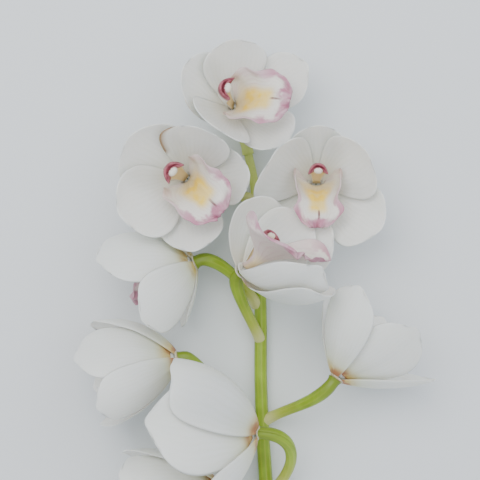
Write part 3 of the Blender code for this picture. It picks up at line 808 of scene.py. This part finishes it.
def stalkPath(bloom):
    look = stalkLook
    table = bloom.table
    root = Vector(table["root"]) * mm - viewOrigin
    leave = root + Vector(table["leaves"]) * mm
    end = bloom.base - bloom.axis * look["underBloom"]
    arrive = end - bloom.axis * table["arrives"] * mm
    points = []
    girths = []
    for step in range(look["courseSteps"] + 1):
        t = step / look["courseSteps"]
        points.append(root * (1 - t) ** 3 + leave * 3 * t * (1 - t) ** 2
                      + arrive * 3 * t * t * (1 - t) + end * t ** 3)
        foot = look["foot"] * math.exp(-(t / look["footReach"]) ** 2)
        ovary = look["ovary"] * math.exp(-((t - look["ovaryAt"]) / look["ovaryReach"]) ** 2)
        girths.append(look["thinnest"] + foot + ovary)
    neck = girths[-1]
    for step in range(1, look["cupSteps"] + 1):
        t = step / look["cupSteps"]
        points.append(end + bloom.axis * (look["underBloom"] + look["intoFunnel"]) * t)
        girths.append(neck + look["cup"] * t ** 2)
    return pathMesh("stalkPath_" + bloom.name, points, girths)


# Grows tepals or a lip from a sheet
def growBlade(name, sheet, look, seed, finish):
    return growMesh(name, sheet, bladeTree, {
        "Finer": 1, "Thickness": look["thickness"], "Wave Height": look["ruffleHeight"],
        "Wave Scale": look["ruffleScale"], "Wave Seed": seed, "Crease Depth": look["creaseDepth"],
        "Raised Height": look["keelHeight"], "Finish": finish,
    })


# Grows the stem or a stalk, and lifts what would lie under the floor
def growStalk(name, path, look, number, finish):
    stalk = growMesh(name, path, stalkTree, {
        "Sides": look["sides"], "Steps": look["steps"], "Rib Height": look["ribHeight"],
        "Rib Scale": look["ribScale"], "Seed": look["seed"] + number, "Finish": finish,
    })
    for vertex in stalk.data.vertices:
        vertex.co.z = max(vertex.co.z, 0.0)
    return stalk


# Shader groups that several materials share: they put out masks only
def makeMottleGroup():
    tree, given, end = newTree("mottle", "ShaderNodeTree", {
        "Scale": 40.0, "Low": 0.4, "High": 0.6,
    }, "Mask", "Float")
    place = addNode(tree, "ShaderNodeTexCoord").outputs["Object"]
    grain = addNode(tree, "ShaderNodeTexNoise", {
        "Vector": place, "Scale": given["Scale"], "Detail": 3.0,
    })
    mask = remap(tree, grain.outputs["Fac"], given["Low"], given["High"])
    tree.links.new(mask, end)
    return tree


def makeVeinGroup():
    tree, given, end = newTree("veinLines", "ShaderNodeTree", {
        "Count": 11.0, "Wander": 0.35, "Sharpness": 3.0,
    }, "Mask", "Float")
    place = addNode(tree, "ShaderNodeTexCoord").outputs["Object"]
    drift = addNode(tree, "ShaderNodeTexNoise", {"Vector": place, "Scale": 45.0, "Detail": 2.0})
    drift = times(tree, calc(tree, "SUBTRACT", drift.outputs["Fac"], 0.5), given["Wander"])
    shifted = calc(tree, "ADD", times(tree, namedValue(tree, "across"), given["Count"]), drift)
    wave = calc(tree, "ABSOLUTE", calc(tree, "COSINE", times(tree, shifted, math.pi)))
    tree.links.new(calc(tree, "POWER", wave, given["Sharpness"]), end)
    return tree


def startMaterial(name, slotColour, roughness):
    made = bpy.data.materials.new(name)
    made.use_nodes = True
    made.diffuse_color = (*slotColour, 1)
    shader = made.node_tree.nodes["Principled BSDF"]
    shader.inputs["Base Color"].default_value = (*slotColour, 1)
    shader.inputs["Roughness"].default_value = roughness
    return made, made.node_tree, shader


def mixColour(tree, first, second, share):
    node = addNode(tree, "ShaderNodeMix", {"Factor": share}, data_type="RGBA")
    for socket, colour in ((node.inputs[6], first), (node.inputs[7], second)):
        if isinstance(colour, bpy.types.NodeSocket):
            tree.links.new(colour, socket)
        else:
            socket.default_value = (*colour, 1)
    return node.outputs[2]


def useGroup(tree, group, values):
    node = addNode(tree, "ShaderNodeGroup", node_tree=group)
    for socket, value in zip(node.inputs, values):
        socket.default_value = value
    return node.outputs[0]


# A material in the making: tints are laid over its colour one by one. Colours, shares and limits
# are given by their names in the material's table
class Painter:
    def __init__(self, name, look, base, mottle):
        self.look = look
        self.mottle = mottle
        self.colour = look[base]
        self.made, self.tree, self.shader = startMaterial(name, look[base], look["roughness"])

    def told(self, value):
        return self.look[value] if isinstance(value, str) else value

    def value(self, label):
        return namedValue(self.tree, label)

    def fade(self, value, limits):
        return remap(self.tree, value, *self.look[limits])

    def near(self, value, centre, limits):
        away = calc(self.tree, "SUBTRACT", value, self.look[centre])
        return self.fade(calc(self.tree, "ABSOLUTE", away), limits)

    def patches(self, label):
        return useGroup(self.tree, self.mottle, self.look[label])

    def mix(self, first, second, *shares):
        share = times(self.tree, *map(self.told, shares))
        return mixColour(self.tree, self.told(first), self.told(second), share)

    def tint(self, colour, *shares):
        self.colour = self.mix(self.colour, colour, *shares)

    def finish(self, lines=0.0):
        fineShare, lineShare, reach, strength = self.look["bump"]
        self.tree.links.new(self.colour, self.shader.inputs["Base Color"])
        height = calc(self.tree, "ADD", times(self.tree, lines, lineShare),
                      times(self.tree, self.patches("fine"), fineShare))
        bump = addNode(self.tree, "ShaderNodeBump", {
            "Height": height, "Distance": reach, "Strength": strength,
        })
        self.tree.links.new(bump.outputs[0], self.shader.inputs["Normal"])
        return self.made


# In these tables patches, coarse and fine are scale, low and high of the mottle, veins are count,
# wander and sharpness, bump is the height of fine and of the lines, their unit and its strength,
# and the other rows of numbers are where a mask starts and ends, and its values there
petalFinish = {
    # painted shade and painted light: the outer face of the tepals is a darker white and the inner face
    # a lighter white, so that open cups come out as bright as the backs
    "shadedOuterWhite": (0.77, 0.785, 0.745),
    "innerWhite": (0.91, 0.905, 0.84),
    "shade": (0.78, 0.80, 0.73),
    "shadePatches": (28.0, 0.35, 0.7),
    "shadeShare": 0.5,
    "vein": (0.60, 0.64, 0.50),
    "veins": (7.0, 1.6, 3.0),
    "veinFade": (0.2, 1.0, 0.16, 0.04),
    "throat": (0.62, 0.66, 0.38),
    "peach": (0.76, 0.68, 0.53),
    "throatFade": (0.50, 0.02),
    "throatShare": 0.75,
    "amber": (0.62, 0.44, 0.13),
    "amberFade": (0.26, 0.06),
    "amberPatches": (70.0, 0.25, 0.55),
    "stain": (0.36, 0.14, 0.07),
    "stainFade": (0.20, 0.08),
    "stainPatches": (95.0, 0.38, 0.54),
    "stainShare": 0.95,
    "bruise": (0.20, 0.09, 0.03),
    "roughness": 0.5,
    "roughPatches": (90.0, 0.3, 0.7),
    "roughLimits": (0.0, 1.0, 0.42, 0.58),
    "fine": (900.0, 0.2, 0.8),
    "bump": (0.3, -0.5, 0.1 * mm, 0.7),
    "softness": 0.6,  # share of the light that scatters inside the petal
    "softSpread": (1.0, 0.9, 0.75),
    "softReach": 5.0 * mm,
}


def makePetalMaterial(mottle, veins):
    look = petalFinish
    paint = Painter("petalWhite", look, "shadedOuterWhite", mottle)
    for label, value in (("Weight", "softness"), ("Radius", "softSpread"), ("Scale", "softReach")):
        paint.shader.inputs["Subsurface " + label].default_value = look[value]
    along = paint.value("along")
    inside = paint.value("inside")
    outside = calc(paint.tree, "SUBTRACT", 1.0, inside)
    lines = useGroup(paint.tree, veins, look["veins"])
    # painted light on the inner face, laid over the painted-shade white of the outer face
    paint.tint("innerWhite", inside)
    paint.tint("shade", paint.patches("shadePatches"), "shadeShare")
    paint.tint("vein", lines, paint.fade(along, "veinFade"))
    paint.tint(paint.mix("throat", "peach", inside), paint.fade(along, "throatFade"), "throatShare")
    paint.tint("amber", outside, paint.fade(along, "amberFade"), paint.patches("amberPatches"))
    paint.tint("stain", outside, paint.fade(along, "stainFade"), paint.patches("stainPatches"),
               "stainShare")
    paint.tint("bruise", paint.value("bruise"))
    rough = paint.fade(paint.patches("roughPatches"), "roughLimits")
    paint.tree.links.new(rough, paint.shader.inputs["Roughness"])
    return paint.finish(lines)


lipFinish = {
    "cream": (0.78, 0.75, 0.69),
    "blush": (0.70, 0.52, 0.54),
    "veinShare": 0.35,
    "outsideShare": 0.55,
    "veins": (8.0, 0.8, 6.0),
    "coarse": (110.0, 0.35, 0.65),
    "ochre": (0.94, 0.80, 0.48),    # in the depth of the throat
    "ochreAlong": (0.40, 0.14),
    "ochreAcross": (0.75, 0.35),
    "ochreShare": 0.9,
    "yellow": (0.95, 0.66, 0.085),  # along the keels
    "yellowFrom": (0.14, 0.34),
    "yellowTo": (0.82, 0.66),
    "yellowAcross": (0.52, 0.20),
    "yellowPatches": (0.0, 1.0, 0.75, 1.0),
    "deepOchre": (0.42, 0.22, 0.07),
    "footAlong": (0.24, 0.10),      # the foot of the side lobes, seen from behind
    "footShare": 0.35,
    "foldBandAt": 0.30,                # where the side lobes fold back
    "foldBandAlong": (0.10, 0.03),
    "foldBandAcross": (0.66, 0.92),
    "smearShare": 0.45,
    "pale": (0.66, 0.50, 0.54),     # the margin, on the side lobes and on the front lobe
    "margin": (0.50, 0.21, 0.30),
    "marginFront": (0.70, 1.0),
    "marginRagged": 0.34,
    "marginEdge": (0.33, 0.70),
    "marginFade": (0.3, 0.66, 0.3, 1.0),
    "marginDeepens": (0.45, 0.82),
    "marginPatches": (0.0, 1.0, 0.45, 1.0),
    "dark": (0.16, 0.035, 0.04),    # a line in the middle, past the keels
    "darkAt": 0.03,
    "darkAcross": (0.06, 0.02),
    "darkFrom": (0.70, 0.75),
    "darkTo": (0.90, 0.84),
    "darkPatches": (0.0, 1.0, 0.5, 1.0),
    "roughness": 0.45,
    "fine": (700.0, 0.2, 0.8),
    "bump": (0.4, 0.5, 0.3 * mm, 0.8),
}


def makeLipMaterial(mottle, veins):
    paint = Painter("lipCream", lipFinish, "cream", mottle)
    tree = paint.tree
    fade = paint.fade
    along = paint.value("along")
    signed = paint.value("across")
    across = calc(tree, "ABSOLUTE", signed)
    inside = paint.value("inside")
    outside = calc(tree, "SUBTRACT", 1.0, inside)
    coarse = paint.patches("coarse")
    lines = useGroup(tree, veins, lipFinish["veins"])
    paint.tint("blush", calc(tree, "ADD", times(tree, lines, coarse, lipFinish["veinShare"]),
                             times(tree, outside, lipFinish["outsideShare"])))
    paint.tint("ochre", fade(along, "ochreAlong"), fade(across, "ochreAcross"), "ochreShare")
    paint.tint("yellow", fade(across, "yellowAcross"), fade(along, "yellowFrom"),
               fade(along, "yellowTo"), fade(coarse, "yellowPatches"), inside)
    # darker brown on the outside at the lip's foot, and in a band where the side lobes fold back
    paint.tint("deepOchre", fade(along, "footAlong"), outside, "footShare")
    paint.tint("deepOchre", fade(across, "foldBandAcross"), paint.near(along, "foldBandAt", "foldBandAlong"),
               "smearShare")
    edge = calc(tree, "MAXIMUM", calc(tree, "POWER", across, 3.0), fade(along, "marginFront"))
    uneven = times(tree, calc(tree, "SUBTRACT", coarse, 0.5), lipFinish["marginRagged"])
    pink = paint.mix("pale", "margin", fade(along, "marginDeepens"), fade(coarse, "marginPatches"))
    paint.tint(pink, fade(calc(tree, "ADD", edge, uneven), "marginEdge"), fade(along, "marginFade"))
    paint.tint("dark", paint.near(signed, "darkAt", "darkAcross"), fade(along, "darkFrom"),
               fade(along, "darkTo"), fade(coarse, "darkPatches"), inside)
    return paint.finish(lines)


columnFinish = {
    "cream": (0.78, 0.77, 0.70),
    "rose": (0.42, 0.12, 0.155),
    "deep": (0.22, 0.04, 0.06),
    "deepPatches": (260.0, 0.35, 0.65),
    "ochre": (0.74, 0.60, 0.34),
    "ochreFade": (0.55, 0.75),
    "tipFade": (0.80, 0.93),
    "underFade": (0.2, 0.8),
    "cap": (0.80, 0.76, 0.66),
    "roughness": 0.4,
    "fine": (800.0, 0.2, 0.8),
    "bump": (1.0, 0.0, 0.1 * mm, 0.8),
}


def makeColumnMaterial(mottle):
    paint = Painter("columnRose", columnFinish, "rose", mottle)
    along = paint.value("along")
    rose = paint.mix("rose", "deep", paint.patches("deepPatches"))
    inner = paint.mix("ochre", rose, paint.fade(along, "ochreFade"))
    coloured = calc(paint.tree, "MAXIMUM", paint.fade(paint.value("under"), "underFade"),
                    paint.fade(along, "tipFade"))
    paint.colour = paint.mix("cream", inner, coloured)
    paint.tint("cap", paint.value("cap"))
    return paint.finish()


stemFinish = {
    "green": (0.27, 0.42, 0.016),
    "deep": (0.15, 0.22, 0.006),
    "deepPatches": (70.0, 0.35, 0.65),
    "deepShare": 0.45,
    "yellow": (0.52, 0.54, 0.08),
    "streaks": 9,
    "streakFade": (0.2, 1.0),
    "streakShare": 0.22,
    "tip": (0.56, 0.63, 0.15),    # the young stem past the scar, and the stalk that it runs on into
    "tipShare": 0.85,
    "tipFade": (0.1181, 0.1221),  # metres along the stem from the middle of the part
    "scar": (0.075, 0.08, 0.012),
    "scarAt": 0.1181,
    "scarReach": (0.0032, 0.0012),
    "scarShare": 0.9,
    "foot": (0.66, 0.64, 0.30),   # of a stalk, which then turns yellow, green and deep green
    "footFade": (0.24, 0.04),
    "yellowFade": (0.55, 0.05),
    "yellowShare": 0.7,
    "deepFade": (0.5, 0.95),
    "deepEnd": 0.9,
    "roughness": 0.42,
    "fine": (600.0, 0.2, 0.8),
    "bump": (0.4, 0.5, 0.12 * mm, 0.8),
}


def makeStemMaterial(name, mottle, isStalk):
    paint = Painter(name, stemFinish, "green", mottle)
    turn = times(paint.tree, paint.value("round"), 2 * math.pi * stemFinish["streaks"])
    streak = calc(paint.tree, "COSINE", turn)
    paint.tint("deep", paint.patches("deepPatches"), "deepShare")
    paint.tint("yellow", paint.fade(streak, "streakFade"), "streakShare")
    if isStalk:
        along = paint.value("along")
        paint.tint("yellow", paint.fade(along, "yellowFade"), "yellowShare")
        paint.tint("foot", paint.fade(along, "footFade"), "yellowShare")
        paint.tint("deep", paint.fade(along, "deepFade"), "deepEnd")
    else:
        place = addNode(paint.tree, "ShaderNodeTexCoord").outputs["Object"]
        upAlong = addNode(paint.tree, "ShaderNodeSeparateXYZ", {0: place}).outputs["Y"]
        paint.tint("tip", paint.fade(upAlong, "tipFade"), "tipShare")
        paint.tint("scar", paint.near(upAlong, "scarAt", "scarReach"), "scarShare")
    return paint.finish(streak)


mottleGroup = makeMottleGroup()
veinGroup = makeVeinGroup()
petalWhite = makePetalMaterial(mottleGroup, veinGroup)
lipCream = makeLipMaterial(mottleGroup, veinGroup)
columnRose = makeColumnMaterial(mottleGroup)
stemGreen = makeStemMaterial("stemGreen", mottleGroup, False)
stalkGreen = makeStemMaterial("stalkGreen", mottleGroup, True)
print("materials made")

bladeTree = makeBladeTree()
stalkTree = makeStalkTree()


def settle(piece, node):
    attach(piece, "root")
    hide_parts(node)


stem = growStalk("stemSkin", stemPath(), stemLook, 0, stemGreen)
settle(stem, "stem")

for order, (bloomName, table) in enumerate(bloomTable.items()):
    bloom = Bloom(bloomName, table)
    green = stemGreen if bloomName == "top" else stalkGreen
    stalk = growStalk("stalkSkin_" + bloomName, stalkPath(bloom), stalkLook, order, green)
    settle(stalk, "stalk_" + bloomName)
    for kind, layer, numbers in (("sepals", 0, (0, 2, 3)), ("petals", 1, (1, 4))):
        maker = SheetMaker()
        for number in numbers:
            addTepal(maker, bloom, number)
        addHub(maker, bloom, layer)
        sheet = maker.finish(kind + "Sheet_" + bloomName)
        seed = tepalLook["seedStep"] * order + layer
        piece = growBlade(f"{kind}Skin_{bloomName}", sheet, tepalLook, seed, petalWhite)
        settle(piece, f"{kind}_{bloomName}")
    sheet = makeLipSheet(bloom)
    lip = growBlade("lipSkin_" + bloomName, sheet, lipLook, lipLook["seed"] + order, lipCream)
    settle(lip, "lip_" + bloomName)
    column = addObject("columnSkin_" + bloomName, makeColumnMesh(bloom, columnRose))
    settle(column, "column_" + bloomName)
    print("bloom made:", bloomName)


# Floor, light and camera
stageLook = {
    "floor": (0.755, 0.785, 0.81),
    "floorReach": 3.0,
    "floorRoughness": 0.9,
    "world": (0.86, 0.90, 0.95),
    "worldStrength": 1.08,
    "aim": (0, 0.12, 0.03),
    "lamps": (  # name, place, size, power, colour
        ("keyLight", (-0.40, 0.62, 1.40), 1.1, 14.0, (1.0, 0.98, 0.95)),
        ("fillLight", (0.55, 0.45, 1.3), 1.4, 6.0, (0.93, 0.96, 1.0)),
    ),
}


def makeFloor():
    mesh = bpy.data.meshes.new("floor")
    wide = stageLook["floorReach"]
    corners = [(-wide, -wide, 0), (wide, -wide, 0), (wide, wide, 0), (-wide, wide, 0)]
    mesh.from_pydata(corners, [], [(0, 1, 2, 3)])
    made = startMaterial("floorPale", stageLook["floor"], stageLook["floorRoughness"])
    mesh.materials.append(made[0])
    floor = addObject("floor", mesh)


def addLamp(name, place, size, power, colour):
    lamp = bpy.data.lights.new(name, "AREA")
    lamp.shape = "DISK"
    lamp.size = size
    lamp.energy = power
    lamp.color = colour
    holder = addObject(name, lamp)
    holder.location = place
    towards = Vector(stageLook["aim"]) - holder.location
    holder.rotation_euler = towards.to_track_quat("-Z", "Y").to_euler()


makeFloor()
for lampRow in stageLook["lamps"]:
    addLamp(*lampRow)
world = bpy.data.worlds.new("softRoom")
world.use_nodes = True
background = world.node_tree.nodes["Background"]
background.inputs[0].default_value = (*stageLook["world"], 1)
background.inputs[1].default_value = stageLook["worldStrength"]
bpy.context.scene.world = world

cameraLook = {"distance": 1.1, "plane": 0.045, "halfWidth": 0.168}
lens = bpy.data.cameras.new("viewCamera")
lens.angle = 2 * math.atan(cameraLook["halfWidth"] / cameraLook["distance"])
viewCamera = addObject("viewCamera", lens)
viewCamera.location = (-viewOrigin.x, -viewOrigin.y, cameraLook["distance"] + cameraLook["plane"])
bpy.context.scene.camera = viewCamera
print("stage made")
